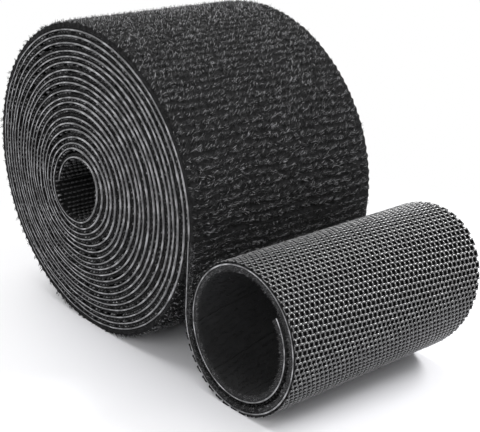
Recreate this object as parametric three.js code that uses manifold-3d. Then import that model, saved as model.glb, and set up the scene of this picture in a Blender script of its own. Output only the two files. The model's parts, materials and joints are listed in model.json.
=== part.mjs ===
// A roll of back-to-back hook and loop tape: a thin plastic web with hooks on one face, laminated
// to a knitted loop pile. It is wound without a core, pile outwards, and its free end hangs down
// from the roll and is curled up the other way, hooks outwards.
// Millimetres, +Z up, the winding's axis along Y, the free end towards +X, the floor at Z = 0.

import * as THREE from 'three';
import { mergeVertices } from 'three/addons/utils/BufferGeometryUtils.js';
import Module from 'manifold-3d';

// Tape: its width, and the layers of its thickness
const TAPE_WIDTH = 50;
const WEB_THICKNESS = 0.3;
const BOND_LINE = 0.1;
const PILE_WOUND = 0.4;
const PILE_STANDING = 1.6;
const PILE_OF_TAIL = 1.2;
const HOOK_HEIGHT = 0.35;

// Winding: web radius at the bore, turns and pitch, and how it departs from a true cylinder
const BORE_RADIUS = 7.0;
const TURNS = 19.5;
const TURN_PITCH = 1.36;
const OUT_OF_ROUND = 1.5;
const OUT_OF_ROUND_AXIS = THREE.MathUtils.degToRad(-28);
const BORE_OFFSET = new THREE.Vector2(-1.1, -1.2);
const TELESCOPE = 2.6;
const FLAT_DEPTH = 0.5;

// Where the tape leaves the roll, below the height of its axis, how far round from there its pile
// rises to its standing height, and where the turn beneath the tail is pressed down
const DEPARTURE = THREE.MathUtils.degToRad(-4);
const PILE_RISE = THREE.MathUtils.degToRad(30);
const PRESSED_UNDER_TAIL = THREE.MathUtils.degToRad(20);
const PRESSING_STARTS = THREE.MathUtils.degToRad(50);

// Curled end: web radius where it starts, how far it winds, the room between its layers, and how
// far and which way it is drawn out to an oval
const CURL_RADIUS = 16.4;
const CURL_TURNS = 1.55;
const CURL_GAP = 0.75;
const CURL_OVAL = 0.9;
const CURL_OVAL_AXIS = THREE.MathUtils.degToRad(38);

// The free end bends at hinge lines: the slit left at each, and the number along the curl
const HINGE_SLIT = 0.3;
const CURL_STRETCHES = 12;

// Fineness of the curves
const STEPS_PER_TURN = 24;
const STEPS_PER_STRETCH = 4;

const FULL_TURN = 2 * Math.PI;
const OUTER_RADIUS = BORE_RADIUS + TURNS * TURN_PITCH;
const WEB_FACE = WEB_THICKNESS / 2;
const PILE_ROOT = WEB_FACE + BOND_LINE;
const LAYER_SPACING = WEB_THICKNESS + BOND_LINE + PILE_OF_TAIL + CURL_GAP;

const wasm = await Module();
wasm.setup();

const webMaterial = new THREE.MeshStandardMaterial({ color: 0x3a3b3e, roughness: 0.42, metalness: 0 });
const pileMaterial = new THREE.MeshStandardMaterial({ color: 0x141416, roughness: 0.95, metalness: 0 });

// A place lies on the middle of the web: its point in the XZ plane, the heading of the tape, the
// direction through it from the hooks to the pile, and the pile's height.
function place(x, z, heading, pile) {
  return { x, z, heading, acrossX: -Math.sin(heading), acrossZ: Math.cos(heading), pile };
}

// The point at a given distance through the tape from a place.
function across(at, distance) {
  return new THREE.Vector2(at.x + at.acrossX * distance, at.z + at.acrossZ * distance);
}

function pileTop(at) {
  return PILE_ROOT + at.pile;
}

// Radius of the winding at an angle that grows inwards, from the departure to the bore.
function windingRadius(angle) {
  const round = OUTER_RADIUS - TURN_PITCH * angle / FULL_TURN;
  const oval = OUT_OF_ROUND * Math.cos(2 * (angle - OUT_OF_ROUND_AXIS));
  return round + oval * round / OUTER_RADIUS;
}

// A point of the winding. Its turns lie further off the middle the nearer they are to the bore.
function windingPoint(angle) {
  const radius = windingRadius(angle);
  const point = new THREE.Vector2(radius * Math.cos(angle), radius * Math.sin(angle));
  return point.addScaledVector(BORE_OFFSET, angle / (TURNS * FULL_TURN));
}

// Heading of the tape at an angle of the winding, travelling outwards.
function windingHeading(angle) {
  const smallAngle = 1e-4;
  const step = windingPoint(angle - smallAngle).sub(windingPoint(angle + smallAngle));
  return Math.atan2(step.y, step.x);
}

// The pile stands free on the outermost turn and is pressed where the next turn covers it.
function windingPile(angle) {
  const { smoothstep, lerp } = THREE.MathUtils;
  const pressed = smoothstep(angle, FULL_TURN - PRESSING_STARTS, FULL_TURN - PRESSED_UNDER_TAIL);
  const risen = smoothstep(angle, DEPARTURE, DEPARTURE + PILE_RISE);
  return lerp(lerp(PILE_OF_TAIL, PILE_STANDING, risen), PILE_WOUND, pressed);
}

// Angles of the winding from the bore outwards, with a flat side of each turn downwards.
function windingAngles() {
  const step = FULL_TURN / STEPS_PER_TURN;
  const innerEnd = TURNS * FULL_TURN;
  const angles = [innerEnd];
  const firstIndex = Math.ceil(innerEnd / step - 0.5) - 1;
  for (let index = firstIndex; (index + 0.5) * step > DEPARTURE; index -= 1) {
    angles.push((index + 0.5) * step);
  }
  angles.push(DEPARTURE);
  return angles;
}

function windingPlace(angle) {
  const point = windingPoint(angle);
  return place(point.x, point.y, windingHeading(angle), windingPile(angle));
}

// Inner turns stand out to the front, as in a roll that has been pushed at its middle.
function windingShift(angle) {
  return -TELESCOPE * Math.max(angle, 0) / (TURNS * FULL_TURN);
}

// Phase of the wave that draws the curl out to an oval, twice a turn.
function curlWave(heading) {
  return 2 * (heading - Math.PI / 2 - CURL_OVAL_AXIS);
}

// Radius of the curl's bend. It closes in steadily, and an outline drawn out by a wave of two periods
// has a bend radius that varies by three times as much.
function curlRadius(bend, heading) {
  const closing = LAYER_SPACING * bend / FULL_TURN;
  return CURL_RADIUS - closing - 3 * CURL_OVAL * Math.cos(curlWave(heading));
}

// A point of the curl about its middle: how far out the tape lies there, and how far along its
// heading that reach's own slope moves it.
function curlPoint(bend, heading) {
  const closing = LAYER_SPACING / FULL_TURN;
  const reach = CURL_RADIUS - closing * bend + CURL_OVAL * Math.cos(curlWave(heading));
  const slope = -closing - 2 * CURL_OVAL * Math.sin(curlWave(heading));
  const x = reach * Math.sin(heading) + slope * Math.cos(heading);
  const z = -reach * Math.cos(heading) + slope * Math.sin(heading);
  return new THREE.Vector2(x, z);
}

// The place at a bend of the curl that starts from a given place.
function curlPlace(start, bend) {
  const heading = start.heading + bend;
  const moved = curlPoint(bend, heading).sub(curlPoint(0, start.heading));
  return place(start.x + moved.x, start.z + moved.y, heading, PILE_OF_TAIL);
}

// Moves straight on from a place.
function followStraight(from, length) {
  const x = from.x + length * Math.cos(from.heading);
  const z = from.z + length * Math.sin(from.heading);
  return place(x, z, from.heading, PILE_OF_TAIL);
}

// The stretches of the curl, each with a slit before it and its hinge in the slit.
function curlStretches(start) {
  const bendPerStretch = CURL_TURNS * FULL_TURN / CURL_STRETCHES;
  const stretches = [];
  for (let index = 0; index < CURL_STRETCHES; index += 1) {
    const bendStart = index * bendPerStretch;
    const slitBend = HINGE_SLIT / curlRadius(bendStart, start.heading + bendStart);
    const hinge = across(curlPlace(start, bendStart + slitBend / 2), -WEB_FACE);
    const step = (bendPerStretch - slitBend) / STEPS_PER_STRETCH;
    const places = [];
    for (let count = 0; count <= STEPS_PER_STRETCH; count += 1) {
      places.push(curlPlace(start, bendStart + slitBend + count * step));
    }
    stretches.push({ hinge, places });
  }
  return stretches;
}

// The free end: a straight drop down to the height from which the curl's hooks just reach the
// floor, and then the stretches of the curl.
function freeStretches(departure, floor) {
  const tried = curlStretches(departure).flatMap((stretch) => stretch.places);
  const lowest = Math.min(...tried.map((at) => across(at, -WEB_FACE).y));
  const dropLength = (lowest - HOOK_HEIGHT - floor) / -Math.sin(departure.heading);
  const dropEnd = followStraight(departure, dropLength);
  const dropStart = followStraight(departure, HINGE_SLIT);
  const peelHinge = across(followStraight(departure, HINGE_SLIT / 2), PILE_ROOT + PILE_OF_TAIL);
  const drop = { hinge: peelHinge, places: [dropStart, dropEnd] };
  return [drop, ...curlStretches(dropEnd)];
}

// A closed strip along a run of places, between two distances through the tape, moved so that the
// origin lies at a given point.
function stripGeometry(places, shifts, origin, lowFace, highFace) {
  const corners = [];
  const triangles = [];
  places.forEach((at, index) => {
    const front = shifts[index] - TAPE_WIDTH / 2;
    const back = shifts[index] + TAPE_WIDTH / 2;
    const low = across(at, lowFace(at)).sub(origin);
    const high = across(at, highFace(at)).sub(origin);
    corners.push(low.x, front, low.y);
    corners.push(high.x, front, high.y);
    corners.push(high.x, back, high.y);
    corners.push(low.x, back, low.y);
  });
  for (let index = 0; index < places.length - 1; index += 1) {
    const here = 4 * index;
    const next = here + 4;
    for (let corner = 0; corner < 4; corner += 1) {
      const beside = (corner + 1) % 4;
      triangles.push(here + corner, next + corner, next + beside);
      triangles.push(here + corner, next + beside, here + beside);
    }
  }
  const last = 4 * (places.length - 1);
  triangles.push(0, 1, 2, 0, 2, 3);
  triangles.push(last, last + 2, last + 1, last, last + 3, last + 2);
  const geometry = new THREE.BufferGeometry();
  geometry.setAttribute('position', new THREE.Float32BufferAttribute(corners, 3));
  geometry.setIndex(triangles);
  return geometry;
}

function webGeometry(places, shifts, origin) {
  return stripGeometry(places, shifts, origin, () => -WEB_FACE, () => WEB_FACE);
}

function pileGeometry(places, shifts, origin) {
  return stripGeometry(places, shifts, origin, () => PILE_ROOT, pileTop);
}

function namedMesh(name, geometry, material) {
  geometry.computeVertexNormals();
  const mesh = new THREE.Mesh(geometry, material);
  mesh.name = name;
  return mesh;
}

function toSolid(geometry) {
  const bare = geometry.clone();
  bare.deleteAttribute('normal');
  bare.deleteAttribute('uv');
  const merged = mergeVertices(bare);
  const vertProperties = new Float32Array(merged.attributes.position.array);
  const triVerts = new Uint32Array(merged.index.array);
  return new wasm.Manifold(new wasm.Mesh({ numProp: 3, vertProperties, triVerts }));
}

function toGeometry(solid) {
  const mesh = solid.getMesh();
  const geometry = new THREE.BufferGeometry();
  geometry.setAttribute('position', new THREE.BufferAttribute(mesh.vertProperties, 3));
  geometry.setIndex(new THREE.BufferAttribute(mesh.triVerts, 1));
  return geometry;
}

// Cuts off what lies below a height, so that the form stands on a flat.
function cutBelow(geometry, height) {
  geometry.computeBoundingBox();
  const size = geometry.boundingBox.getSize(new THREE.Vector3());
  const middle = geometry.boundingBox.getCenter(new THREE.Vector3());
  const block = new THREE.BoxGeometry(2 * size.x, 2 * size.y, 2 * size.z);
  block.translate(middle.x, middle.y, height - size.z);
  return toGeometry(toSolid(geometry).subtract(toSolid(block)));
}

// Least distance between faces of the tape that are more than half a turn apart along it.
function leastGap(places, lowFace, highFace) {
  const lows = places.map((at) => across(at, lowFace(at)));
  const highs = places.map((at) => across(at, highFace(at)));
  const apart = STEPS_PER_TURN / 2;
  let least = Infinity;
  for (let first = 0; first < places.length; first += 1) {
    for (let second = first + apart; second < places.length; second += 1) {
      least = Math.min(least, lows[first].distanceTo(highs[second]));
      least = Math.min(least, highs[first].distanceTo(lows[second]));
    }
  }
  return least;
}

// The winding, with its axis lifted so that the flat under its pile lies on the floor.
const angles = windingAngles();
const winding = angles.map(windingPlace);
const windingShifts = angles.map(windingShift);
const lowestPile = Math.min(...winding.map((at) => across(at, pileTop(at)).y));
const axisHeight = -lowestPile - FLAT_DEPTH;
const rollAxis = new THREE.Vector2(0, 0);

const roll = new THREE.Group();
const wound = new THREE.Group();
wound.position.z = axisHeight;
const woundWeb = webGeometry(winding, windingShifts, rollAxis);
const woundPile = cutBelow(pileGeometry(winding, windingShifts, rollAxis), -axisHeight);
wound.add(namedMesh('wound_hook_web', woundWeb, webMaterial));
wound.add(namedMesh('wound_loop_pile', woundPile, pileMaterial));
roll.add(wound);

// Each stretch of the free end hangs from the one before it, in a group that stands on its hinge.
const freeEnd = freeStretches(winding[winding.length - 1], -axisHeight);
let holder = wound;
let holderOrigin = rollAxis;
freeEnd.forEach(({ hinge, places }, index) => {
  const name = index === 0 ? 'drop' : `curl_${String(index).padStart(2, '0')}`;
  const swing = new THREE.Group();
  swing.name = `${name}_hinge`;
  swing.position.set(hinge.x - holderOrigin.x, 0, hinge.y - holderOrigin.y);
  const shifts = places.map(() => 0);
  swing.add(namedMesh(`${name}_hook_web`, webGeometry(places, shifts, hinge), webMaterial));
  swing.add(namedMesh(`${name}_loop_pile`, pileGeometry(places, shifts, hinge), pileMaterial));
  holder.add(swing);
  holder = swing;
  holderOrigin = hinge;
});

// The origin lies under the middle of the whole part.
const extent = new THREE.Box3().setFromObject(roll);
roll.position.x = -(extent.min.x + extent.max.x) / 2;
roll.position.y = -(extent.min.y + extent.max.y) / 2;
roll.updateMatrixWorld(true);

const curlPlaces = freeEnd.slice(1).flatMap((stretch) => stretch.places);
const webGap = leastGap(winding, () => -WEB_FACE, () => WEB_FACE);
const pileGap = leastGap(winding, () => PILE_ROOT, pileTop);
const tapeGap = leastGap(winding, () => -WEB_FACE, pileTop);
const curlGap = leastGap(curlPlaces, () => -WEB_FACE, pileTop);
console.log(`least gap of the wound web to itself ${webGap.toFixed(3)} mm`);
console.log(`least gap of the wound pile to itself ${pileGap.toFixed(3)} mm`);
console.log(`least gap between turns of the tape ${tapeGap.toFixed(3)} mm`);
console.log(`least gap between layers of the curl ${curlGap.toFixed(3)} mm`);

export default roll;
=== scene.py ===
"""The looks of a roll of hook and loop tape with its free end hanging down and curled up.

The tape is built in its own coordinates: the distance along it from where it leaves the roll, the
distance across it from its middle, and the height through it, hooks below the web and pile above.
Lengths are in millimetres until a mesh is made.
"""

import json
import math

import bpy
import numpy as np
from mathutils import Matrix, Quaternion, Vector


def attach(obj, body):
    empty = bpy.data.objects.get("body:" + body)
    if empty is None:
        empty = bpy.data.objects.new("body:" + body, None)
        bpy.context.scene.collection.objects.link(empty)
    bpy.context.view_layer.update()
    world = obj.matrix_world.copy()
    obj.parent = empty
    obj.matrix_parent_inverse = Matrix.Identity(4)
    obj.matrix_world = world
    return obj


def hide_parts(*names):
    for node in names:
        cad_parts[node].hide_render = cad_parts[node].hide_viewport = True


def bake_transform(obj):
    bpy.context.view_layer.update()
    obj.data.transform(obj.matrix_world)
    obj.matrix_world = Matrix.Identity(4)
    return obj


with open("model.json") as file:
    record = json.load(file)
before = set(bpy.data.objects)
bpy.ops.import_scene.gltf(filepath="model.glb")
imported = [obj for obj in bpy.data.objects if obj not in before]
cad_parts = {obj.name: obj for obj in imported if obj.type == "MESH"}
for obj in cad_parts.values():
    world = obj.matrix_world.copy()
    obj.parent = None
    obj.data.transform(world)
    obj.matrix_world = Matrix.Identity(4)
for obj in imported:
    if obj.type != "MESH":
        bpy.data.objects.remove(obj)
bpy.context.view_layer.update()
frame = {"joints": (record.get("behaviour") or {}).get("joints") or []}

MM = 0.001
FULL_TURN = 2 * math.pi
SEED = 7

# Tape, as in the solids
TAPE_WIDTH = 50.0
HALF_WIDTH = TAPE_WIDTH / 2
WEB_THICKNESS = 0.3
WEB_FACE = WEB_THICKNESS / 2
BOND_LINE = 0.1
PILE_WOUND = 0.4
PILE_STANDING = 1.6
PILE_OF_TAIL = 1.2
HOOK_CLEARANCE = 0.35
PILE_ROOT = WEB_FACE + BOND_LINE

# Winding, as in the solids
BORE_RADIUS = 7.0
TURNS = 19.5
TURN_PITCH = 1.36
INNER_END = TURNS * FULL_TURN
OUTER_RADIUS = BORE_RADIUS + TURNS * TURN_PITCH
OUT_OF_ROUND = 1.5
OUT_OF_ROUND_AXIS = math.radians(-28)
BORE_OFFSET = (-1.1, -1.2)
TELESCOPE = 2.6
DEPARTURE = math.radians(-4)
PRESSED_UNDER_TAIL = math.radians(20)
PRESSING_STARTS = math.radians(50)

# How loosely the turns lie, how oval the bore is, and how far the tape's inner end stands off
LOOSENESS = 0.1
BORE_OVAL = 0.55
END_LIFT = 0.8
END_LIFT_ARC = math.radians(120)
# The waves of the loose turns, as rates and shifts, and where they start and are in full
LOOSE_WAVES = ((2.31, 0), (3.83, 1), (0.71, 2))
LOOSE_FROM = 0.6 * FULL_TURN
LOOSE_BY = 1.6 * FULL_TURN

# Curl, with the turns, gap, stretches and slits of the solids, how much sooner than theirs it ends,
# its radius and oval, and how its edges differ from its middle
CURL_TURNS = 1.55
CURL_GAP = 0.75
CURL_STRETCHES = 12
HINGE_SLIT = 0.3
END_TRIM = 3.4
CURL_RADIUS = 17.04
CURL_OVAL = 1.02
CURL_OVAL_AXIS = math.radians(49)
CURL_CONE = 0.74
CURL_OVAL_CONE = 0.98
LAYER_SPACING = WEB_THICKNESS + BOND_LINE + PILE_OF_TAIL + CURL_GAP
CURL_CLOSING = LAYER_SPACING / FULL_TURN

# Hooks: the grid they stand on, whose rows lie half a pitch aside in turn, the hook's length, the
# depth past which its sides are its crown, which keeps the hook plastic's grey while the sides below take
# the near-black web plastic as painted shade, how its size and lean vary, and how many show between turns
HOOK_COLUMNS = 43
HOOK_PITCH = TAPE_WIDTH / HOOK_COLUMNS
HOOK_ROW_PITCH = 1.17
HOOK_LENGTH = 0.42
CROWN_DEPTH = 0.46
HOOK_SIZES = (0.92, 1.05)
HOOK_LEAN = 0.06
WOUND_HOOKS_KEPT = 0.7

# Pile: the courses that it is knitted in and how they stray, the tufts of loops along each course,
# the shares of dark, middling and light fibres, whose light ones are painted glints, the mat that the
# loops stand on, the loops that stray and those of the free end, and how much taller and wider the pile
# is at the back
COURSE_PITCH = 1.75
SLOW_DRIFT = 0.22
FAST_DRIFT = 0.1
TUFT_PITCH = 0.55
STRANDS_PER_TUFT = 9
SHADE_SHARES = (0.58, 0.26, 0.16)
MAT_WOUND = 0.62
MAT_SHARE = 0.66
MAT_HEAP = 0.16
MAT_ROUGHNESS = 0.1
MAT_IN_CURL = 0.7
LOOP_ROOT = 0.8
STRAY_HEIGHT = 0.5
STRAY_SHARE = 0.1
LOOPS_PER_MM_OF_DROP = 420
LOOPS_KEPT_IN_CURL = 0.36
PILE_SLANT = 0.05
BACK_OVERHANG = 0.6

# Loops of the outermost turn: scatter of the tufts and of their strands along and across the tape,
# their leans, the share that leans to the back, their heights and thickness, how far they may reach
# past the tape's front and back edges, and where along the tape the last ones stand
TUFT_SCATTER = (0.16, 0.3)
STRAND_SCATTER = (0.28, 0.3)
TUFT_LEAN_ACROSS = (0.2, 0.65)
TUFT_LEAN_ALONG = (-0.3, 0.2)
LEAN_TO_BACK = 0.85
STRAND_LEAN = 0.2
LOOP_HEIGHTS = (0.15, 0.5)
LEAST_LOOP = 0.05
LOOP_THICKNESS = (0.07, 0.15)
LOOP_PAST_EDGES = (0.5, 0.7)
LAST_LOOP = -0.1

# Loops of the free end, in the same terms
FREE_COURSE_SCATTER = 0.35
FREE_LEAN_ACROSS = (0.3, 0.4)
FREE_LEAN_ALONG = (-0.2, 0.25)
FREE_HEIGHT_SHARES = (0.5, 1.0)
FREE_THICKNESS = (0.07, 0.14)
FREE_PAST_EDGES = (0.45, 0.3)

# Fibres that stand out of the pile's edges, on the winding and on the free end: how many, how far
# inside the edge they start, their reach, their scatter along and through the tape, and thickness
FUZZ_PER_MM = 6.0
FUZZ_INSET = 0.6
FUZZ_REACH = (0.25, 0.8)
FUZZ_LOWEST = 0.05
FUZZ_SCATTER = (0.25, 0.15)
FUZZ_THICKNESS = (0.06, 0.13)
RIM_FIBRES_PER_MM = 22
RIM_INSET = 0.25
RIM_REACH = (0.2, 0.6)
RIM_HEIGHT_SHARES = (0.05, 1.3)
RIM_SCATTER = (0.25, 0.12)
RIM_THICKNESS = (0.08, 0.16)

# How a strand's points rise and lean over, for a fibre and for a loop, and how thin it is at its tip
FIBRE_RISE = np.array([0.0, 0.5, 1.0])
LOOP_RISE = np.array([0.0, 0.8, 1.0])
LOOP_REACH = np.array([0.0, 0.4, 1.0])
STRAND_TIP = 0.6

# Edges: how far the mats lie inside the tape's edges, and the spread and length of the edges' waves
MAT_INSET_WOUND = 0.3
MAT_INSET_STANDING = 0.2
MAT_INSET_FREE = 0.1
MAT_EDGE_WAVES = (0.22, 0.9)
WEB_EDGE_WAVES = (0.06, 2.5)

# Fineness of the meshes, and where their columns lie on the winding, as shares of the half width
WINDING_SAMPLES = 40000
WOUND_STEP = 0.9
FREE_STEP = 0.45
FREE_WEB_COLUMNS = 21
FREE_MAT_COLUMNS = 51
STANDING_STEP = 0.35
STANDING_COLUMNS = 121
STANDING_PIECES = 8
WOUND_WEB_COLUMNS = np.array([-1.0, -0.989, 0, 0.989, 1.0])
WOUND_MAT_COLUMNS = np.array([-1, -0.97, -0.9, 0, 0.9, 0.97, 1])

# Steps that find a bend, the least height over the floor, and what keeps a division from failing
BEND_STEPS = 6
FLOOR_GAP = 0.08
TINY = 1e-12

rng = np.random.default_rng(SEED)


def smoothstep(value, low, high):
    share = np.clip((value - low) / (high - low), 0, 1)
    return share * share * (3 - 2 * share)


def winding_radius(angle):
    """Radius of the web's middle at an angle that grows inwards from the departure."""
    steady = OUTER_RADIUS - TURN_PITCH * angle / FULL_TURN
    oval = OUT_OF_ROUND * np.cos(2 * (angle - OUT_OF_ROUND_AXIS)) * steady / OUTER_RADIUS
    waves = sum(np.sin(rate * angle + shift) for rate, shift in LOOSE_WAVES)
    loose = LOOSENESS * waves * smoothstep(angle, LOOSE_FROM, LOOSE_BY)
    bore_oval = BORE_OVAL * np.sin(2 * angle) * angle / INNER_END
    lift = END_LIFT * smoothstep(angle, INNER_END - END_LIFT_ARC, INNER_END)
    return steady + oval + bore_oval + loose - lift


def winding_point(angle):
    """Point about the roll's axis. The turns lie further off it the nearer they are to the bore."""
    radius = winding_radius(angle)
    off_x, off_z = (offset * angle / INNER_END for offset in BORE_OFFSET)
    return radius * np.cos(angle) + off_x, radius * np.sin(angle) + off_z


def winding_frame(angle):
    """Point about the roll's axis and heading of the tape, travelling outwards."""
    small = 1e-4
    x, z = winding_point(angle)
    ahead_x, ahead_z = winding_point(angle - small)
    behind_x, behind_z = winding_point(angle + small)
    return x, z, np.arctan2(ahead_z - behind_z, ahead_x - behind_x)


def winding_pile(angle, across):
    """Height of the pile, which stands free on the outermost turn and is pressed under the others.

    Of the two edges the back one has the taller pile.
    """
    pressed = smoothstep(angle, FULL_TURN - PRESSING_STARTS, FULL_TURN - PRESSED_UNDER_TAIL)
    standing = PILE_STANDING * (1 + PILE_SLANT * across / HALF_WIDTH)
    return standing + (PILE_WOUND - standing) * pressed


class Tape:
    """Maps a distance along the tape, one across it and a height through it to the part's frame.

    The distance along is 0 at the departure, negative on the roll and positive on the free end.
    """

    def __init__(self, hinge):
        self.angles = np.linspace(DEPARTURE, INNER_END, WINDING_SAMPLES)
        x, z, _ = winding_frame(self.angles)
        self.lengths = np.concatenate([[0], np.cumsum(np.hypot(np.diff(x), np.diff(z)))])
        self.wound_length = self.lengths[-1]
        departure = winding_frame(np.array(DEPARTURE))
        self.start_x, self.start_z, self.heading = (float(part) for part in departure)
        along, lean = HINGE_SLIT / 2, PILE_ROOT + PILE_OF_TAIL
        hinge_x = self.start_x + along * math.cos(self.heading) - lean * math.sin(self.heading)
        hinge_z = self.start_z + along * math.sin(self.heading) + lean * math.cos(self.heading)
        self.axis = np.array([hinge[0] - hinge_x, hinge[1], hinge[2] - hinge_z])
        middle = np.zeros(CURL_STRETCHES + 1)
        bends = np.linspace(0, CURL_TURNS * FULL_TURN, CURL_STRETCHES + 1)
        curl_starts = self.drop_length(middle) + self.curl_length(bends, middle)
        self.stretch_starts = np.concatenate([[0], curl_starts])
        self.free_length = curl_starts[-1]

    def curl_wave(self, bend):
        return 2 * (self.heading + bend - math.pi / 2 - CURL_OVAL_AXIS)

    def curl_point(self, bend, edge):
        """A point of the curl about its middle, at one of its edges (-1 and 1) or between them."""
        heading, wave = self.heading + bend, self.curl_wave(bend)
        oval = CURL_OVAL + CURL_OVAL_CONE * edge
        reach = CURL_RADIUS + CURL_CONE * edge - CURL_CLOSING * bend + oval * np.cos(wave)
        slope = -CURL_CLOSING - 2 * oval * np.sin(wave)
        x = reach * np.sin(heading) + slope * np.cos(heading)
        z = -reach * np.cos(heading) + slope * np.sin(heading)
        return x, z

    def curl_length(self, bend, edge):
        oval = CURL_OVAL + CURL_OVAL_CONE * edge
        turned = np.sin(self.curl_wave(bend)) - math.sin(self.curl_wave(0))
        mean_radius = CURL_RADIUS + CURL_CONE * edge
        return mean_radius * bend - CURL_CLOSING * bend**2 / 2 - 1.5 * oval * turned

    def curl_bend(self, length, edge):
        """The bend at a length along the curl, found in a few steps."""
        bend = length / CURL_RADIUS
        oval = CURL_OVAL + CURL_OVAL_CONE * edge
        mean_radius = CURL_RADIUS + CURL_CONE * edge
        for _ in range(BEND_STEPS):
            radius = mean_radius - CURL_CLOSING * bend - 3 * oval * np.cos(self.curl_wave(bend))
            bend = bend - (self.curl_length(bend, edge) - length) / radius
        return bend

    def drop_length(self, edge):
        """Length of the straight drop from which the curl's hooks just reach the floor."""
        _, first_z = self.curl_point(0, edge)
        _, lowest_z = self.curl_point(-self.heading, edge)
        height = self.axis[2] + self.start_z + lowest_z - first_z - WEB_FACE - HOOK_CLEARANCE
        return height / -math.sin(self.heading)

    def free_frame(self, along, edge):
        drop = self.drop_length(edge)
        straight = np.minimum(along, drop)
        bend = self.curl_bend(np.maximum(along - drop, 0), edge)
        first_x, first_z = self.curl_point(0, edge)
        x, z = self.curl_point(bend, edge)
        x = self.start_x + straight * math.cos(self.heading) + x - first_x
        z = self.start_z + straight * math.sin(self.heading) + z - first_z
        return x, z, self.heading + bend

    def angle_at(self, along):
        return np.interp(-along, self.lengths, self.angles)

    def points(self, along, across, height):
        """Points in the part's frame, in metres, for tape coordinates that go together."""
        along, across, height = np.broadcast_arrays(along, across, height)
        shape = along.shape
        along, across, height = (np.ravel(part).astype(float) for part in (along, across, height))
        angle = self.angle_at(np.minimum(along, 0))
        x, z, heading = winding_frame(angle)
        shift = -TELESCOPE * np.maximum(angle, 0) / INNER_END
        free = along > 0
        x[free], z[free], heading[free] = self.free_frame(along[free], across[free] / HALF_WIDTH)
        x = self.axis[0] + x - height * np.sin(heading)
        y = self.axis[1] + across + shift
        z = self.axis[2] + z + height * np.cos(heading)
        return np.stack([x, y, np.maximum(z, FLOOR_GAP)], -1).reshape(*shape, 3) * MM


class Shape:
    """Collects corners, in metres, and polygons with a number of material for each."""

    def __init__(self):
        self.corners = []
        self.polygons = []
        self.picks = []
        self.count = 0

    def add_corners(self, corners):
        first = self.count
        self.corners.append(corners.reshape(-1, 3))
        self.count += len(self.corners[-1])
        return first

    def add_polygons(self, polygons, pick):
        self.polygons.append(polygons)
        self.picks.append(np.broadcast_to(pick, len(polygons)))

    def build(self, name, materials):
        """Makes the mesh object."""
        mesh = bpy.data.meshes.new(name)
        corners = np.concatenate(self.corners).astype(np.float32)
        mesh.vertices.add(len(corners))
        mesh.vertices.foreach_set("co", corners.ravel())
        sizes = np.concatenate([np.full(len(group), group.shape[1]) for group in self.polygons])
        loops = np.concatenate([group.ravel() for group in self.polygons]).astype(np.int32)
        mesh.loops.add(len(loops))
        mesh.loops.foreach_set("vertex_index", loops)
        mesh.polygons.add(len(sizes))
        starts = np.concatenate([[0], np.cumsum(sizes)[:-1]]).astype(np.int32)
        mesh.polygons.foreach_set("loop_start", starts)
        mesh.polygons.foreach_set("material_index", np.concatenate(self.picks).astype(np.int32))
        mesh.update(calc_edges=True)
        for material in materials:
            mesh.materials.append(material)
        piece = bpy.data.objects.new(name, mesh)
        bpy.context.scene.collection.objects.link(piece)
        return piece


def add_slab(shape, along, across, low, high, low_pick, high_pick, edge_pick):
    """A closed slab of the tape between two heights, on a grid of stations along and across it.

    The picks give the materials of the lower face and the ends, the upper face and the edges.
    """
    along, across, low, high = np.broadcast_arrays(along, across, low, high)
    rows, columns = along.shape
    first = shape.add_corners(tape.points(along, across, low))
    shape.add_corners(tape.points(along, across, high))
    under = first + np.arange(rows * columns).reshape(rows, columns)
    over = under + rows * columns
    lower = np.stack([under[:-1, :-1], under[:-1, 1:], under[1:, 1:], under[1:, :-1]], -1)
    upper = np.stack([over[:-1, :-1], over[1:, :-1], over[1:, 1:], over[:-1, 1:]], -1)
    shape.add_polygons(lower.reshape(-1, 4), low_pick)
    shape.add_polygons(upper.reshape(-1, 4), high_pick)
    borders = [
        (under[:, 0], over[:, 0], edge_pick), (under[::-1, -1], over[::-1, -1], edge_pick),
        (under[0, ::-1], over[0, ::-1], low_pick), (under[-1], over[-1], low_pick),
    ]
    for below, above, pick in borders:
        wall = np.stack([below[:-1], below[1:], above[1:], above[:-1]], -1)
        shape.add_polygons(wall, pick)


# Outlines across the tape, as they stand below the web: a hook's stem with a cap that droops, the
# same with fewer corners, and the low bar that runs from a hook to the next row
HOOK_OUTLINE = np.array([
    (-0.16, 0.0), (-0.16, 0.36), (-0.3, 0.34), (-0.5, 0.24), (-0.57, 0.38), (-0.5, 0.52), (-0.32, 0.57),
    (0.32, 0.57), (0.5, 0.52), (0.57, 0.38), (0.5, 0.24), (0.3, 0.34), (0.16, 0.36), (0.16, 0.0),
])
SMALL_HOOK_OUTLINE = HOOK_OUTLINE[[0, 1, 3, 4, 6, 7, 9, 10, 12, 13]]
LINK_OUTLINE = np.array([(-0.2, 0.0), (-0.2, 0.41), (-0.15, 0.47), (0.15, 0.47), (0.2, 0.41), (0.2, 0.0)])
# Along the tape a hook's top is round: where its outline stands, and how much of its depth is left
HOOK_STATIONS = np.array([-0.5, -0.32, 0.32, 0.5]).reshape(1, -1, 1)
HOOK_FULLNESS = np.array([0.72, 1.0, 1.0, 0.72]).reshape(1, -1, 1)


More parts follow.
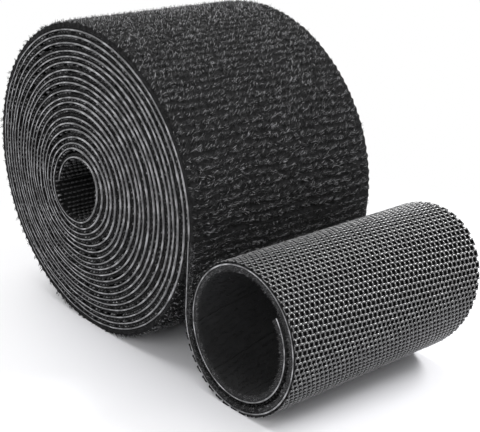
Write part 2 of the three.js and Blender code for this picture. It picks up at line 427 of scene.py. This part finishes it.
def add_bars(shape, along, across, depth, crowned, crown_picks, shade_pick):
    """Bars below the web, each an outline in some slices; arrays run over bars, slices and corners."""
    count, slices, sides = along.shape
    inside = np.clip(across, -HALF_WIDTH, HALF_WIDTH)
    first = shape.add_corners(tape.points(along, inside, -WEB_FACE - depth))
    ring = np.arange(sides)
    after = np.roll(ring, -1)
    base = first + slices * sides * np.arange(count)[:, None]
    walls = np.stack([ring, after, after + sides, ring + sides], -1)
    # Sides past the crown depth take the hook plastic; the lower sides and the ends take the near-black
    # web plastic, as painted shade
    wall_picks = np.where(crowned, np.reshape(crown_picks, (-1, 1)), shade_pick)
    wall_picks = np.broadcast_to(wall_picks, (count, sides)).ravel()
    for number in range(slices - 1):
        corners = walls + (base + number * sides)[:, :, None]
        shape.add_polygons(corners.reshape(-1, 4), wall_picks)
    shape.add_polygons(ring[::-1] + base, shade_pick)
    shape.add_polygons(ring + (slices - 1) * sides + base, shade_pick)


def is_crown(outline):
    """Which sides of an outline are its top."""
    return (outline[:, 1] + np.roll(outline[:, 1], -1)) / 2 > CROWN_DEPTH


def add_hooks(shape, along, across, outline, crown_picks, shade_pick):
    """Hooks below the web at the given places, each a little different."""
    count = len(along)
    size = rng.uniform(*HOOK_SIZES, (count, 1, 1))
    lean = rng.normal(0, HOOK_LEAN, (count, 1, 1))
    depth = outline[:, 1] * size * HOOK_FULLNESS
    place_along = along.reshape(-1, 1, 1) + HOOK_LENGTH * HOOK_STATIONS * size + lean * depth
    place_across = np.broadcast_to(across.reshape(-1, 1, 1) + outline[:, 0] * size, depth.shape)
    add_bars(shape, place_along, place_across, depth, is_crown(outline), crown_picks, shade_pick)


def add_links(shape, along, across, crown_pick, shade_pick):
    """Low bars along the tape that run from each hook to the next row, between two hooks there."""
    ends = np.array([0.0, 1.0]).reshape(1, 2, 1)
    grid = (len(along), 2, len(LINK_OUTLINE))
    place_along = np.broadcast_to(along.reshape(-1, 1, 1) + HOOK_ROW_PITCH * ends, grid)
    place_across = np.broadcast_to(across.reshape(-1, 1, 1) + LINK_OUTLINE[:, 0], grid)
    depth = np.broadcast_to(LINK_OUTLINE[:, 1], grid)
    add_bars(shape, place_along, place_across, depth, is_crown(LINK_OUTLINE), crown_pick, shade_pick)


def unit(vectors):
    return vectors / (np.linalg.norm(vectors, axis=2, keepdims=True) + TINY)


def add_strands(shape, lines, thickness, pick):
    """Tapered three-sided strands along lines of points in metres, of some thickness in millimetres.

    pick gives one material for all strands or one for each.
    """
    count, steps = lines.shape[:2]
    tangent = unit(np.gradient(lines, axis=1))
    clear_of_y = np.abs(tangent[..., 1:2]) < 0.8
    helper = np.where(clear_of_y, (0.0, 1.0, 0.0), (1.0, 0.0, 0.0))
    side = unit(np.cross(tangent, helper))
    up = np.cross(tangent, side)
    turns = np.arange(3) * FULL_TURN / 3
    rings = side[:, :, None] * np.cos(turns)[:, None] + up[:, :, None] * np.sin(turns)[:, None]
    taper = np.linspace(1.0, STRAND_TIP, steps - 1).reshape(1, -1, 1, 1)
    reach = thickness.reshape(-1, 1, 1, 1) * MM / 2 * taper
    body = lines[:, :-1, None] + rings[:, :-1] * reach
    corners = np.concatenate([body.reshape(count, -1, 3), lines[:, -1:]], 1)
    per_strand = corners.shape[1]
    base = shape.add_corners(corners) + per_strand * np.arange(count)[:, None, None]
    quads, tips = [], [(2, 1, 0)]
    for corner in range(3):
        beside = (corner + 1) % 3
        for step in range(0, 3 * (steps - 2), 3):
            quads.append((step + corner, step + beside, step + 3 + beside, step + 3 + corner))
        last = 3 * (steps - 2)
        tips.append((last + corner, last + beside, per_strand - 1))
    picks = np.broadcast_to(pick, count)
    for group in (quads, tips):
        polygons = (np.array(group) + base).reshape(-1, len(group[0]))
        shape.add_polygons(polygons, np.repeat(picks, len(group)))


def loop_lines(along, across, root, height, lean_along, lean_across):
    """Lines of three points that rise from the mat and bend over."""
    return tape.points(
        along[:, None] + lean_along[:, None] * LOOP_REACH,
        across[:, None] + lean_across[:, None] * LOOP_REACH,
        root[:, None] + height[:, None] * LOOP_RISE,
    )


def strand_shades(count):
    """Picks a dark, a middling or a light fibre for each strand, as numbers 1 to 3; the light fibres are
    painted glints.
    """
    return rng.choice([1, 2, 3], count, p=SHADE_SHARES)


def wander(along, spread, wave):
    """A smooth random offset along the tape."""
    knots = np.arange(np.min(along) - wave, np.max(along) + 2 * wave, wave)
    return np.interp(along, knots, rng.normal(0, spread, len(knots)))


def course_drift(along, across):
    """How far a course of the knit strays along the tape, so that its line is broken."""
    slow = SLOW_DRIFT * np.sin(0.33 * across + 0.11 * along)
    fast = FAST_DRIFT * np.sin(1.1 * across - 0.23 * along)
    return slow + fast


# Materials: how blue the greys are, how far the roughness varies, the strength of the relief, and how
# detailed the noise is
BLUE_CAST = 1.03
GLOSS_SPREAD = 0.08
BUMP_STRENGTH = 0.6
NOISE_DETAIL = 3.0


def grey(level):
    return (level, level, level * BLUE_CAST, 1)


def new_material(name, level, roughness, specular):
    material = bpy.data.materials.new(name)
    material.use_nodes = True
    shader = material.node_tree.nodes["Principled BSDF"]
    shader.inputs["Base Color"].default_value = grey(level)
    shader.inputs["Roughness"].default_value = roughness
    shader.inputs["Specular IOR Level"].default_value = specular
    return material, material.node_tree, shader


def noise(tree, size_mm):
    """Noise over the part's own coordinates with features of about a given size."""
    where = tree.nodes.new("ShaderNodeTexCoord")
    texture = tree.nodes.new("ShaderNodeTexNoise")
    texture.inputs["Scale"].default_value = 1 / (size_mm * MM)
    texture.inputs["Detail"].default_value = NOISE_DETAIL
    tree.links.new(where.outputs["Object"], texture.inputs["Vector"])
    return texture.outputs["Fac"]


def ramp(tree, factor, stops):
    """A grey that follows a factor through stops of position and level."""
    node = tree.nodes.new("ShaderNodeValToRGB")
    while len(node.color_ramp.elements) < len(stops):
        node.color_ramp.elements.new(0.5)
    for element, (position, level) in zip(node.color_ramp.elements, stops):
        element.position = position
        element.color = grey(level)
    tree.links.new(factor, node.inputs["Fac"])
    return node.outputs["Color"]


def varied(name, stops, size_mm, roughness, specular=0.5, bump_mm=0.0):
    """A material whose grey, roughness and relief vary with noise."""
    levels = [level for _, level in stops]
    material, tree, shader = new_material(name, sum(levels) / len(levels), roughness, specular)
    coarse = noise(tree, size_mm)
    tree.links.new(ramp(tree, coarse, stops), shader.inputs["Base Color"])
    fine = noise(tree, size_mm / 4)
    gloss = ramp(tree, fine, [(0.25, roughness - GLOSS_SPREAD), (0.75, roughness + GLOSS_SPREAD)])
    tree.links.new(gloss, shader.inputs["Roughness"])
    if bump_mm:
        bump = tree.nodes.new("ShaderNodeBump")
        bump.inputs["Strength"].default_value = BUMP_STRENGTH
        bump.inputs["Distance"].default_value = bump_mm * MM
        tree.links.new(fine, bump.inputs["Height"])
        tree.links.new(bump.outputs["Normal"], shader.inputs["Normal"])
    return material


# The web's plastic, far darker than the hooks' crowns of the same plastic: painted shade on the web
# between the hooks and on the hooks' lower sides
shaded_web_plastic = varied("shaded_web_plastic", [(0.35, 0.005), (0.65, 0.014)], 2.0, 0.7, specular=0.15, bump_mm=0.02)
# The web's cut edges, far lighter than its plastic: painted highlight along the rims of the turns
lit_web_edge = varied("web_cut_edge_painted_highlight", [(0.3, 0.07), (0.48, 0.15), (0.68, 0.36)], 2.2, 0.55)
hook_plastic = varied("hook_plastic", [(0.35, 0.04), (0.65, 0.075)], 1.2, 0.2, specular=1.0)
# The free end's cut edges, far lighter than its plastic: painted highlight along its rims
lit_tail_edge = varied("tail_cut_edge_painted_highlight", [(0.3, 0.052), (0.48, 0.173), (0.68, 0.433)], 2.5, 0.5)
# Hooks at the winding's edges: a copy of the hook plastic, patchy from near black to light grey, painted
# shade between the turns with painted glints
edge_hook_shade_and_glints = varied("edge_hook_shade_and_glints", [(0.4, 0.017), (0.55, 0.052), (0.68, 0.243)], 1.6, 0.45)
# Hooks in the bore: a darker, duller copy of the hook plastic, as painted shade inside the bore
shaded_bore_hook_plastic = varied("shaded_bore_hook_plastic", [(0.35, 0.031), (0.65, 0.052)], 1.2, 0.6, specular=0.3)
# The pile's own black, kept a little darker than its loops, as painted shade between them
pile_mat = varied("pile_mat", [(0.35, 0.007), (0.65, 0.017)], 0.8, 0.9, specular=0.1, bump_mm=0.15)
dark_fibre = varied("dark_fibre", [(0.35, 0.011), (0.65, 0.021)], 0.6, 0.5, specular=0.3)
middling_fibre = varied("middling_fibre", [(0.35, 0.052), (0.65, 0.095)], 0.6, 0.45)
# Light fibres among the black pile: painted glints
painted_glint_fibre = varied("painted_glint_fibre", [(0.35, 0.295), (0.65, 0.533)], 0.6, 0.4)
# The pile inside the curl: an even dark grey without glints, a copy of the pile's materials as painted
# shade
shaded_inside_mat = varied("shaded_inside_mat", [(0.35, 0.025), (0.65, 0.031)], 2.0, 0.9, specular=0.1)
shaded_inside_fibre = varied("shaded_inside_fibre", [(0.35, 0.026), (0.65, 0.037)], 0.8, 0.7, specular=0.2)
# Fibres standing out of the pile's edges: the pile's black with patches of mid and light grey, painted
# glints
rim_fibres_painted_glints = varied("rim_fibres_painted_glints", [(0.4, 0.021), (0.55, 0.087), (0.7, 0.277)], 0.6, 0.5)
edge_fibres_painted_glints = varied("edge_fibres_painted_glints", [(0.4, 0.014), (0.55, 0.052), (0.7, 0.208)], 0.6, 0.5)
pile_materials = [pile_mat, dark_fibre, middling_fibre, painted_glint_fibre]
free_pile_materials = pile_materials + [rim_fibres_painted_glints, shaded_inside_mat, shaded_inside_fibre]
RIM_PICK, SHADED_INSIDE_MAT_PICK, SHADED_INSIDE_FIBRE_PICK = 4, 5, 6

joints = {joint["name"]: joint for joint in frame["joints"]}
tape = Tape(np.array(joints["tail_peel"]["pos_m"]) / MM)


# The wound tape, which rides on the roll


def on_roll(piece, slot, *nodes):
    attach(piece, "roll")
    if nodes:
        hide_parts(*nodes)


def stations(start, end, step):
    return np.linspace(start, end, int((end - start) / step) + 1)


def add_wound_web():
    along = stations(-tape.wound_length, 0, WOUND_STEP)
    columns = WOUND_WEB_COLUMNS * HALF_WIDTH
    across = np.repeat(columns[None], len(along), 0)
    across[:, 0] += wander(along, *WEB_EDGE_WAVES)
    across[:, -1] += wander(along, *WEB_EDGE_WAVES)
    # Narrow strips of the outer face along both edges take the cut edge's light grey, as painted
    # highlight along the rims
    upper_face_lit_strips = np.tile([1, 0, 0, 1], len(along) - 1)
    shape = Shape()
    add_slab(shape, along[:, None], across, -WEB_FACE, WEB_FACE, 0, upper_face_lit_strips, 1)
    on_roll(shape.build("wound_web", [shaded_web_plastic, lit_web_edge]), "hook_web", "wound_hook_web")


def hook_places(start, end, columns, stagger):
    """Places of the hooks in a stretch; with stagger, every other row lies half a pitch aside."""
    rows = np.arange(math.ceil(start / HOOK_ROW_PITCH), math.ceil(end / HOOK_ROW_PITCH))
    row, column = np.meshgrid(rows, columns, indexing="ij")
    aside = stagger * (row % 2) / 2
    across = -HALF_WIDTH + (column + 0.5 + aside) * HOOK_PITCH
    return (row * HOOK_ROW_PITCH).ravel(), across.ravel()


def add_wound_hooks(name, column):
    """Hooks at one edge of the winding, some of which the pile of the next turn hides."""
    along, across = hook_places(-tape.wound_length, -HOOK_ROW_PITCH, [column], 0)
    chosen = rng.random(len(along)) < WOUND_HOOKS_KEPT
    shape = Shape()
    # These hooks take the patchy copy of the hook plastic, painted shade and glints
    add_hooks(shape, along[chosen], across[chosen], SMALL_HOOK_OUTLINE, 0, 0)
    on_roll(shape.build(name, [edge_hook_shade_and_glints]), "hook_web")


def add_bore_hooks():
    last_turn = FULL_TURN * (BORE_RADIUS + TURN_PITCH)
    start = -tape.wound_length
    along, across = hook_places(start, start + last_turn, range(1, HOOK_COLUMNS - 1), 1)
    shape = Shape()
    # The bore's hooks take the darker copy of the hook plastic, painted shade
    add_hooks(shape, along, across, SMALL_HOOK_OUTLINE, 0, 0)
    on_roll(shape.build("bore_hooks", [shaded_bore_hook_plastic]), "hook_web")


def add_wound_pile():
    """The mat of the pile between the turns."""
    along = stations(-tape.wound_length, -standing_length, WOUND_STEP)
    columns = WOUND_MAT_COLUMNS * (HALF_WIDTH - MAT_INSET_WOUND)
    across = np.repeat(columns[None], len(along), 0)
    across[:, 0] += np.abs(wander(along, *MAT_EDGE_WAVES))
    across[:, -1] -= np.abs(wander(along, *MAT_EDGE_WAVES))
    shape = Shape()
    add_slab(shape, along[:, None], across, WEB_FACE, PILE_ROOT + MAT_WOUND, 0, 0, 0)
    on_roll(shape.build("wound_pile_mat", [pile_mat]), "loop_pile", "wound_loop_pile")


def add_standing_mat():
    """The mat of the outermost turn, heaped up along each course of the knit, in two pieces."""
    along = stations(-standing_length, 0, STANDING_STEP)
    across = np.linspace(-HALF_WIDTH + MAT_INSET_STANDING, HALF_WIDTH + BACK_OVERHANG, STANDING_COLUMNS)
    along_grid, across_grid = np.meshgrid(along, across, indexing="ij")
    strayed = along_grid + course_drift(along_grid, across_grid)
    heap = 0.5 + 0.5 * np.cos(FULL_TURN * strayed / COURSE_PITCH)
    height = winding_pile(tape.angle_at(along_grid), across_grid)
    standing = smoothstep(height, PILE_WOUND, PILE_OF_TAIL)
    rough = rng.uniform(-MAT_ROUGHNESS, MAT_ROUGHNESS, heap.shape) * standing
    top = height * (MAT_SHARE + MAT_HEAP * heap) + rough
    half = len(along) // 2
    halves = {"standing_mat_inner": slice(0, half + 1), "standing_mat_outer": slice(half, None)}
    for name, rows in halves.items():
        shape = Shape()
        add_slab(shape, along_grid[rows], across_grid[rows], WEB_FACE, PILE_ROOT + top[rows], 0, 0, 0)
        on_roll(shape.build(name, [pile_mat]), "loop_pile")


def kept_near(across, lean_across, past_edges, overhang):
    """The leans across, cut short where they would take a strand too far past the tape's edges."""
    front, back = past_edges
    return np.clip(across + lean_across, -HALF_WIDTH - front, HALF_WIDTH + overhang + back) - across


def add_standing_loops(name, start, end):
    """Loops of the outermost turn, in tufts along each course of the knit."""
    courses = np.arange(math.ceil(start / COURSE_PITCH), math.ceil(end / COURSE_PITCH))
    places = -HALF_WIDTH + (np.arange(int(TAPE_WIDTH / TUFT_PITCH)) + 0.5) * TUFT_PITCH
    along, across = np.meshgrid(courses * COURSE_PITCH, places, indexing="ij")
    tufts = along.size
    along = along.ravel() + rng.normal(0, TUFT_SCATTER[0], tufts)
    across = across.ravel() + rng.normal(0, TUFT_SCATTER[1], tufts)
    across = np.clip(across, -HALF_WIDTH, HALF_WIDTH)
    along = along - course_drift(along, across)
    lean_way = np.where(rng.random(tufts) < LEAN_TO_BACK, 1, -1)
    lean_across = lean_way * rng.uniform(*TUFT_LEAN_ACROSS, tufts)
    lean_along = rng.normal(*TUFT_LEAN_ALONG, tufts)

    def each_strand(values, spread):
        return np.repeat(values, STRANDS_PER_TUFT) + rng.normal(0, spread, tufts * STRANDS_PER_TUFT)

    along = np.clip(each_strand(along, STRAND_SCATTER[0]), start - COURSE_PITCH, LAST_LOOP)
    across = each_strand(across, STRAND_SCATTER[1])
    across = np.clip(across, -HALF_WIDTH, HALF_WIDTH + BACK_OVERHANG)
    count = len(along)
    pile = winding_pile(tape.angle_at(along), across)
    share = pile / PILE_STANDING
    stray = STRAY_HEIGHT * (rng.random(count) < STRAY_SHARE)
    height = (rng.uniform(*LOOP_HEIGHTS, count) + stray) * share + LEAST_LOOP
    lean_across = each_strand(lean_across, STRAND_LEAN) * share
    lean_across = kept_near(across, lean_across, LOOP_PAST_EDGES, 0)
    lean_along = each_strand(lean_along, STRAND_LEAN) * share
    lines = loop_lines(along, across, PILE_ROOT + LOOP_ROOT * pile, height, lean_along, lean_across)
    shape = Shape()
    # The light fibres among the loops are painted glints
    add_strands(shape, lines, rng.uniform(*LOOP_THICKNESS, count), strand_shades(count))
    on_roll(shape.build(name, pile_materials), "loop_pile")


def add_edge_fuzz(name, side):
    """Short fibres that stand out of one edge of the wound pile."""
    count = int(tape.wound_length * FUZZ_PER_MM)
    along = -rng.uniform(0, tape.wound_length, count)
    root = PILE_ROOT + rng.uniform(FUZZ_LOWEST, MAT_WOUND, count)
    reach = side * rng.uniform(*FUZZ_REACH, count)
    lines = tape.points(
        along[:, None] + rng.normal(0, FUZZ_SCATTER[0], count)[:, None] * FIBRE_RISE,
        side * (HALF_WIDTH - FUZZ_INSET) + reach[:, None] * FIBRE_RISE,
        root[:, None] + rng.normal(0, FUZZ_SCATTER[1], count)[:, None] * FIBRE_RISE,
    )
    shape = Shape()
    add_strands(shape, lines, rng.uniform(*FUZZ_THICKNESS, count), 0)
    on_roll(shape.build(name, [edge_fibres_painted_glints]), "loop_pile")


# The free end, in stretches that each reach across one joint


def free_web(name, start, end):
    """A stretch of the free end's web with its hooks, whose crowns at the edges of the inner layer take
    the near-black web plastic as painted shade.
    """
    along = stations(start, end, FREE_STEP)
    across = np.linspace(-HALF_WIDTH, HALF_WIDTH, FREE_WEB_COLUMNS)
    shape = Shape()
    # The cut edges take the free end's light edge grey, painted highlight
    add_slab(shape, along[:, None], across[None], -WEB_FACE, WEB_FACE, 0, 0, 1)
    first, last = max(start, HOOK_LENGTH), min(end, tape.free_length - END_TRIM - HOOK_LENGTH)
    along, across = hook_places(first, last, range(-1, HOOK_COLUMNS), 1)
    on_tape = np.abs(across) < HALF_WIDTH + HOOK_PITCH / 4
    along, across = along[on_tape], across[on_tape]
    # Hooks at the inner layer's edges get near-black crowns, painted shade between the layers, and no
    # links
    inner_layer = along > tape.stretch_starts[1] + tape.curl_length(FULL_TURN, 0)
    shaded_edge_hooks = inner_layer & (np.abs(across) > HALF_WIDTH - HOOK_PITCH)
    add_hooks(shape, along, across, HOOK_OUTLINE, np.where(shaded_edge_hooks, 0, 2), 0)
    linked = (along + HOOK_ROW_PITCH < tape.free_length - END_TRIM) & ~shaded_edge_hooks
    add_links(shape, along[linked], across[linked], 2, 0)
    return shape.build(name, [shaded_web_plastic, lit_tail_edge, hook_plastic])


def free_pile_height(along):
    """The pile is as tall as the roll's where the tape leaves it, and lower inside the curl."""
    return PILE_STANDING + (PILE_OF_TAIL - PILE_STANDING) * smoothstep(along, 0, tape.stretch_starts[1])


def free_mat_height(along):
    inside = smoothstep(along, 0, tape.stretch_starts[1])
    return free_pile_height(along) * (LOOP_ROOT + (MAT_IN_CURL - LOOP_ROOT) * inside)


def pressed_and_shaded_share(along):
    """How much of the pile lies pressed, with fewer loops, and takes the even dark materials of painted
    shade, as all of it does on the last turn, inside the curl.
    """
    first = tape.stretch_starts[1]
    return smoothstep(along, first, first + tape.curl_length((CURL_TURNS - 1) * FULL_TURN, 0))


def add_free_edge_fuzz(shape, start, end, side):
    """Short fibres that stand out of one edge of a stretch of the free end's pile."""
    count = int((end - start) * RIM_FIBRES_PER_MM)
    along = rng.uniform(start, end, count)
    root = PILE_ROOT + free_mat_height(along) * rng.uniform(*RIM_HEIGHT_SHARES, count)
    reach = rng.uniform(*RIM_REACH, count)
    lines = tape.points(
        along[:, None] + rng.normal(0, RIM_SCATTER[0], count)[:, None] * FIBRE_RISE,
        side * (HALF_WIDTH - RIM_INSET + reach[:, None] * FIBRE_RISE),
        root[:, None] + rng.normal(0, RIM_SCATTER[1], count)[:, None] * FIBRE_RISE,
    )
    add_strands(shape, lines, rng.uniform(*RIM_THICKNESS, count), RIM_PICK)


def free_pile(name, start, end):
    """A stretch of the free end's pile: its mat and the loops on it."""
    overhang = BACK_OVERHANG * max(0, 1 - start / tape.stretch_starts[1])
    along = stations(start, end, FREE_STEP)
    last = HALF_WIDTH - MAT_INSET_FREE + overhang
    across = np.linspace(-HALF_WIDTH + MAT_INSET_FREE, last, FREE_MAT_COLUMNS)
    along_grid, across_grid = np.meshgrid(along, across, indexing="ij")
    rough = rng.uniform(-MAT_ROUGHNESS, MAT_ROUGHNESS, along_grid.shape)
    rough[[0, -1]] = 0
    top = PILE_ROOT + free_mat_height(along_grid) + rough
    # Where the pile lies inside the curl, mat, sides and loops take the even dark materials, painted
    # shade
    shaded = rng.random(along_grid[1:, 1:].shape) < pressed_and_shaded_share(along_grid[1:, 1:])
    mat_picks = np.where(shaded, SHADED_INSIDE_MAT_PICK, 0)
    side_pick = SHADED_INSIDE_MAT_PICK if pressed_and_shaded_share(start) > 0.5 else 0
    shape = Shape()
    add_slab(shape, along_grid, across_grid, WEB_FACE, top, side_pick, mat_picks.ravel(), side_pick)
    place = rng.uniform(start, end, int((end - start) * LOOPS_PER_MM_OF_DROP))
    place = place[rng.random(len(place)) < 1 - (1 - LOOPS_KEPT_IN_CURL) * pressed_and_shaded_share(place)]
    count = len(place)
    spread = rng.uniform(-HALF_WIDTH, HALF_WIDTH + overhang, count)
    course = COURSE_PITCH * np.round(place / COURSE_PITCH) + rng.normal(0, FREE_COURSE_SCATTER, count)
    place = np.clip(course - course_drift(course, spread), start, end)
    mat = free_mat_height(place)
    height = (free_pile_height(place) - mat) * rng.uniform(*FREE_HEIGHT_SHARES, count)
    lean_across = rng.normal(*FREE_LEAN_ACROSS, count)
    lean_across = kept_near(spread, lean_across, FREE_PAST_EDGES, overhang)
    lean_along = rng.normal(*FREE_LEAN_ALONG, count)
    lines = loop_lines(place, spread, PILE_ROOT + mat, height, lean_along, lean_across)
    shaded = rng.random(count) < pressed_and_shaded_share(place)
    picks = np.where(shaded, SHADED_INSIDE_FIBRE_PICK, strand_shades(count))
    add_strands(shape, lines, rng.uniform(*FREE_THICKNESS, count), picks)
    add_free_edge_fuzz(shape, start, end, -1)
    add_free_edge_fuzz(shape, start, end, 1)
    return shape.build(name, free_pile_materials)


def add_free_end():
    bodies = ["roll", "drop"] + [f"curl_{number:02d}" for number in range(1, CURL_STRETCHES + 1)]
    middles = (tape.stretch_starts[:-1] + tape.stretch_starts[1:]) / 2
    for index, name in enumerate(bodies[1:]):
        start = 0.0 if index == 0 else middles[index - 1]
        bend_end = middles[index]
        end = tape.free_length - END_TRIM if name == bodies[-1] else bend_end
        line = tape.points(np.array([start, bend_end]), 0, 0)
        web = free_web(f"{name}_web", start, end)
        pile = free_pile(f"{name}_pile", start, end)
        for piece, slot in ((web, "hook_web"), (pile, "loop_pile")):
            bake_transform(piece)
            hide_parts(f"{name}_{slot}")


standing_length = float(np.interp(FULL_TURN - PRESSED_UNDER_TAIL, tape.angles, tape.lengths))
add_wound_web()
add_wound_hooks("wound_hooks_front", 0)
add_wound_hooks("wound_hooks_back", HOOK_COLUMNS - 1)
add_bore_hooks()
add_wound_pile()
add_standing_mat()
cuts = np.linspace(-standing_length, 0, STANDING_PIECES + 1)
for number, (start, end) in enumerate(zip(cuts[:-1], cuts[1:]), 1):
    add_standing_loops(f"standing_loops_{number}", start, end)
add_edge_fuzz("edge_fuzz_front", -1)
add_edge_fuzz("edge_fuzz_back", 1)
add_free_end()


# Stage, light and camera, in metres: the floor's reach and grey, where it fades to white, and the
# strength of the world's light on the part
FLOOR_REACH = 3.0
FLOOR_LEVEL = 0.9
FADE_CENTRE = (0.012, 0.02, 0)
FADE_START = 0.045
FADE_END = 0.105
WORLD_LIGHT = 0.55


def white_to_camera(tree):
    """1 for what the camera sees, straight or in a gloss, and 0 for light that falls on the part."""
    path = tree.nodes.new("ShaderNodeLightPath")
    total = tree.nodes.new("ShaderNodeMath")
    total.use_clamp = True
    more = tree.nodes.new("ShaderNodeMath")
    more.use_clamp = True
    tree.links.new(path.outputs["Is Camera Ray"], total.inputs[0])
    tree.links.new(path.outputs["Is Glossy Ray"], total.inputs[1])
    tree.links.new(total.outputs["Value"], more.inputs[0])
    tree.links.new(path.outputs["Is Transmission Ray"], more.inputs[1])
    return more.outputs["Value"]


def make_floor():
    """A pale floor that fades to white away from the part."""
    signs = ((-1, -1), (1, -1), (1, 1), (-1, 1))
    corners = [(x * FLOOR_REACH, y * FLOOR_REACH, 0) for x, y in signs]
    mesh = bpy.data.meshes.new("floor")
    mesh.from_pydata(corners, [], [(0, 1, 2, 3)])
    floor = bpy.data.objects.new("floor", mesh)
    bpy.context.scene.collection.objects.link(floor)
    material, tree, shader = new_material("pale_floor", FLOOR_LEVEL, 0.9, specular=0.1)
    place = tree.nodes.new("ShaderNodeNewGeometry")
    distance = tree.nodes.new("ShaderNodeVectorMath")
    distance.operation = "DISTANCE"
    distance.inputs[1].default_value = FADE_CENTRE
    fade = tree.nodes.new("ShaderNodeMapRange")
    fade.interpolation_type = "SMOOTHSTEP"
    fade.inputs["From Min"].default_value = FADE_START
    fade.inputs["From Max"].default_value = FADE_END
    tree.links.new(place.outputs["Position"], distance.inputs[0])
    tree.links.new(distance.outputs["Value"], fade.inputs["Value"])
    seen = tree.nodes.new("ShaderNodeMath")
    seen.operation = "MULTIPLY"
    tree.links.new(fade.outputs["Result"], seen.inputs[0])
    tree.links.new(white_to_camera(tree), seen.inputs[1])
    white = tree.nodes.new("ShaderNodeEmission")
    blend = tree.nodes.new("ShaderNodeMixShader")
    tree.links.new(seen.outputs["Value"], blend.inputs["Fac"])
    tree.links.new(shader.outputs["BSDF"], blend.inputs[1])
    tree.links.new(white.outputs["Emission"], blend.inputs[2])
    tree.links.new(blend.outputs["Shader"], tree.nodes["Material Output"].inputs["Surface"])
    mesh.materials.append(material)


def make_world():
    world = bpy.data.worlds.new("studio")
    world.use_nodes = True
    bpy.context.scene.world = world
    tree = world.node_tree
    background = tree.nodes["Background"]
    background.inputs["Color"].default_value = (1, 1, 1, 1)
    strength = tree.nodes.new("ShaderNodeMapRange")
    strength.inputs["To Min"].default_value = WORLD_LIGHT
    strength.inputs["To Max"].default_value = 1.0
    tree.links.new(white_to_camera(tree), strength.inputs["Value"])
    tree.links.new(strength.outputs["Result"], background.inputs["Strength"])


def aim(thing, forward):
    thing.rotation_mode = "QUATERNION"
    thing.rotation_quaternion = forward.to_track_quat("-Z", "Y")


def make_lamp(name, place, target, width, depth, power):
    lamp = bpy.data.lights.new(name, "AREA")
    lamp.shape = "RECTANGLE"
    lamp.size = width
    lamp.size_y = depth
    lamp.energy = power
    thing = bpy.data.objects.new(name, lamp)
    bpy.context.scene.collection.objects.link(thing)
    thing.location = place
    aim(thing, Vector(target) - Vector(place))


# The photograph's camera: its place, the way it looks, the lens for a frame 36 mm wide, and the least
# distance in metres at which it sees
CAMERA_PLACE_MM = (194.74, -171.17, 122.19)
CAMERA_AZIMUTH = math.radians(47.52)
CAMERA_ELEVATION = math.radians(20.46)
CAMERA_TILT = math.radians(3.07)
CAMERA_LENS = 93.3
SENSOR_WIDTH = 36.0
NEAREST_SEEN = 0.005


def make_camera():
    data = bpy.data.cameras.new("camera")
    data.lens = CAMERA_LENS
    data.sensor_width = SENSOR_WIDTH
    data.clip_start = NEAREST_SEEN
    camera = bpy.data.objects.new("camera", data)
    bpy.context.scene.collection.objects.link(camera)
    camera.location = Vector(CAMERA_PLACE_MM) * MM
    level = math.cos(CAMERA_ELEVATION)
    ahead_x = -math.sin(CAMERA_AZIMUTH) * level
    ahead_y = math.cos(CAMERA_AZIMUTH) * level
    aim(camera, Vector((ahead_x, ahead_y, -math.sin(CAMERA_ELEVATION))))
    camera.rotation_quaternion = camera.rotation_quaternion @ Quaternion((0, 0, 1), CAMERA_TILT)
    bpy.context.scene.camera = camera


make_floor()
make_world()
make_lamp("overhead", place=(-0.25, -0.03, 0.56), target=(0, 0, 0.02), width=0.45, depth=0.45, power=2.4)
make_lamp("band", place=(0.19, 0.35, 0.43), target=(0.045, 0, 0.03), width=0.28, depth=0.12, power=2.8)
make_lamp("front", place=(0.2, -0.45, 0.28), target=(0, 0, 0.03), width=0.4, depth=0.3, power=0.95)
make_camera()
bpy.context.scene.view_settings.view_transform = "Standard"
